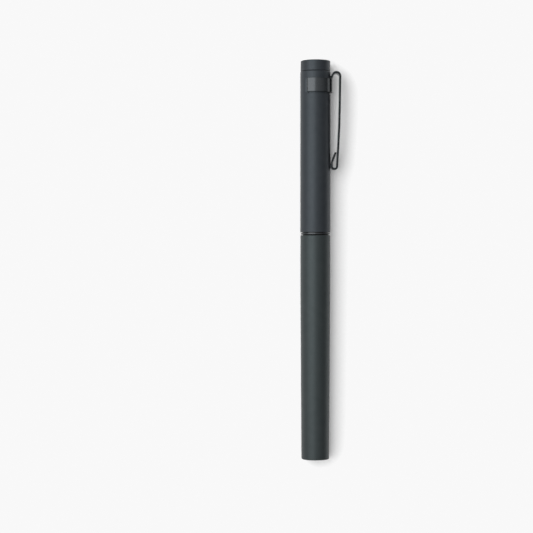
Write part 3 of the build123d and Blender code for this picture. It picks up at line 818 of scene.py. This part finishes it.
def make_clip():
    """Band and tongue as the one strip of sheet that they are, bent up and given its thickness."""
    middle = BAND_R - SHEET / 2
    across, fillet_columns, fillet_rows, band_columns, band_rows, hook_columns = 16, 8, 5, 60, 14, 5
    step, flatten_over, tip_round, tip_least = 0.22, 1.9, 0.9, 0.30
    hook_r, hook_start = 0.34, BAND_HALF - math.radians(2.4)
    vertices, faces = [], []

    def grid(points):
        """Adds rows of points and the faces between them."""
        base = len(vertices)
        width = len(points[0])
        for row in points:
            vertices.extend(row)
        for i in range(len(points) - 1):
            for j in range(width - 1):
                a = base + i * width + j
                faces.append((a, a + 1, a + width + 1, a + width))

    # arc lengths along the band's middle surface, from its centre line: tongue, fillet, plain band
    tongue = [ROOT_HALF * (2 * n / across - 1) for n in range(across + 1)]
    fillet = [ROOT_HALF + ROOT_FILLET * (1 - math.cos(math.pi / 2 * n / fillet_columns))
              for n in range(1, fillet_columns + 1)]
    end = hook_start * middle
    plain = [fillet[-1] + (end - fillet[-1]) * n / band_columns for n in range(1, band_columns + 1)]
    arcs = [-w for w in reversed(fillet + plain)] + tongue + fillet + plain

    def on_band(arc, y, drop):
        """A point of the band's middle surface, or one that far inside it."""
        angle = arc / middle
        radius = middle - drop
        return (radius * math.cos(angle), y, radius * math.sin(angle))

    def hooked(share):
        """Arc length and drop at a share of the quarter turn inwards at a band end."""
        turn = math.pi / 2 * share
        return end + hook_r * math.sin(turn), hook_r * (1 - math.cos(turn))

    hook = [hooked(n / hook_columns) for n in range(1, hook_columns + 1)]
    columns = [(-arc, drop) for arc, drop in reversed(hook)] + [(arc, 0.0) for arc in arcs] + hook
    ys = [BAND_REAR + (BAND_FRONT - BAND_REAR) * n / band_rows for n in range(band_rows + 1)]
    grid([[on_band(arc, y, drop) for arc, drop in columns] for y in ys])

    frames = strip_frames(step)
    length = step * (len(frames) - 1)

    def on_tongue(n, width):
        """A point of the tongue, which is round like the band at its root and flat beyond."""
        point, normal = frames[n]
        flat = smooth(n * step / flatten_over)
        sag = (middle - math.sqrt(middle ** 2 - width ** 2)) * (1 - flat)
        x, y = point - normal * sag
        return (x, y, width)

    # the fillets that carry the band's front edge up into the tongue
    root_rows = []
    for n in range(fillet_rows + 1):
        row = []
        for arc in [-w for w in reversed(fillet)] + tongue + fillet:
            lean = min(ROOT_FILLET, ROOT_FILLET + ROOT_HALF - abs(arc))
            rise = ROOT_FILLET
            if abs(arc) > ROOT_HALF:
                rise -= math.sqrt(ROOT_FILLET ** 2 - lean ** 2)
            place = rise * n / fillet_rows / step
            low = int(place)
            width = math.copysign(middle * math.sin(abs(arc) / middle), arc)
            a, b = Vector(on_tongue(low, width)), Vector(on_tongue(low + 1, width))
            row.append(tuple(a.lerp(b, place - low)))
        root_rows.append(row)
    grid(root_rows)

    # the tongue itself, tapered and with its free end rounded
    tongue_rows = []
    for n in range(round(ROOT_FILLET / step), len(frames)):
        taper = 1 + (TIP_HALF / ROOT_HALF - 1) * smooth(1.6 * n * step / length)
        left = length - n * step
        round_end = math.sqrt(max(0.0, 1 - (1 - left / tip_round) ** 2)) if left < tip_round else 1
        tongue_rows.append([
            on_tongue(n, middle * math.sin(w / middle) * taper * max(tip_least, round_end)) for w in tongue])
    grid(tongue_rows)

    clip = piece("clip", vertices, faces, None, "clip_black", "clip_band", "clip_arm")
    tidy(clip)
    # second material: the darker, duller edge finish, painted shade on the sheet's cut and rounded edges
    clip.data.materials.append(MATERIALS["clip_edge"])
    thicken(clip, SHEET, EDGE)
    start, end = ((x * MM, y * MM, 0) for x, y in (FLEX_START, FLEX_END))
    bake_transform(clip)


# ---------------------------------------------------------------- CAD nodes that stay

def dress_cad_nodes():
    """Gives their finish to the CAD nodes that are shown as they are."""
    for node, slot in (("feed", "black_plastic"), ("snap_ring", "spring_steel"),
                       ("lock_washer", "spring_steel"), ("cap_screw", "spring_steel")):
        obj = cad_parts[node]
        obj.data.materials.clear()
        obj.data.materials.append(MATERIALS[slot])


# ---------------------------------------------------------------- floor and light

FLOOR_HALF = 3000
DOME_AXIS = (-0.40, 0.15, 0.90)
DOME_EDGE, DOME_DIM, DOME_BRIGHT = -0.35, 0.05, 1.22
# places and sizes of the softbox are in metres
SOFTBOX_PLACE, SOFTBOX_AIM, SOFTBOX_SIZE, SOFTBOX_POWER = (-0.60, 0.24, 0.90), (0, 0.07, 0), (0.9, 1.2), 9.6
WHITE = 0.94


def add_floor():
    """A seamless pale sheet that the clip band and the tail's edge both touch."""
    clearance = 0.02
    lean = math.atan2(BAND_R - TAIL_R, BAND_REAR - TAIL)
    mesh = bpy.data.meshes.new("floor")
    half = FLOOR_HALF * MM
    corners = [(-half, -half, 0), (half, -half, 0), (half, half, 0), (-half, half, 0)]
    mesh.from_pydata(corners, [], [(0, 1, 2, 3)])
    floor = bpy.data.objects.new("floor", mesh)
    floor.rotation_euler = (-lean, 0, 0)
    floor.location = (0, BAND_REAR * MM, (-BAND_R - clearance) * MM)
    bpy.context.scene.collection.objects.link(floor)
    material, nodes, links, out = shader("floor")
    paper = grain(nodes, links, 0.8)
    links.new(tint(nodes, links, paper, (0.86, 0.86, 0.86), (0.88, 0.88, 0.88)), out.inputs["Base Color"])
    out.inputs["Roughness"].default_value = 0.9
    out.inputs["Specular IOR Level"].default_value = 0.1
    mesh.materials.append(material)


def add_softbox():
    """One big window of light, above and to the left of the pen."""
    data = bpy.data.lights.new("softbox", "AREA")
    data.shape = "RECTANGLE"
    data.size, data.size_y = SOFTBOX_SIZE
    data.energy = SOFTBOX_POWER
    light = bpy.data.objects.new("softbox", data)
    light.location = SOFTBOX_PLACE
    towards = Vector(SOFTBOX_AIM) - Vector(SOFTBOX_PLACE)
    light.rotation_euler = towards.to_track_quat("-Z", "Y").to_euler()
    bpy.context.scene.collection.objects.link(light)


def add_world():
    """A soft dome, brightest overhead on the left and dim towards the right-hand horizon."""
    world = bpy.data.worlds.new("studio")
    world.use_nodes = True
    nodes, links = world.node_tree.nodes, world.node_tree.links
    place = nodes.new("ShaderNodeTexCoord")
    towards = nodes.new("ShaderNodeVectorMath")
    towards.operation = "DOT_PRODUCT"
    towards.inputs[1].default_value = Vector(DOME_AXIS).normalized()
    fade = nodes.new("ShaderNodeMapRange")
    fade.inputs["From Min"].default_value = DOME_EDGE
    fade.inputs["From Max"].default_value = 1
    fade.inputs["To Min"].default_value = DOME_DIM
    fade.inputs["To Max"].default_value = DOME_BRIGHT
    nodes["Background"].inputs["Color"].default_value = (1, 1, 1, 1)
    links.new(place.outputs["Generated"], towards.inputs[0])
    links.new(towards.outputs["Value"], fade.inputs["Value"])
    links.new(fade.outputs["Result"], nodes["Background"].inputs["Strength"])
    bpy.context.scene.world = world


def set_view():
    """Plain view transform, with whites held just below paper white."""
    view = bpy.context.scene.view_settings
    view.view_transform = "Standard"
    view.look = "None"
    view.use_curve_mapping = True
    curve = view.curve_mapping.curves[3]
    curve.points[1].location = (WHITE, WHITE)
    curve.points.new(1, WHITE)
    for point in curve.points:
        point.handle_type = "VECTOR"
    view.curve_mapping.update()


# ---------------------------------------------------------------- build

add_camera()
MATERIALS = make_materials()
make_barrel()
make_o_ring()
make_collar()
make_grip()
make_housing()
make_nib()
make_tipping()
make_converter()
make_knob()
make_piston()
make_cap_tube()
make_finial()
make_liner()
make_clip()
dress_cad_nodes()
add_floor()
add_world()
add_softbox()
set_view()
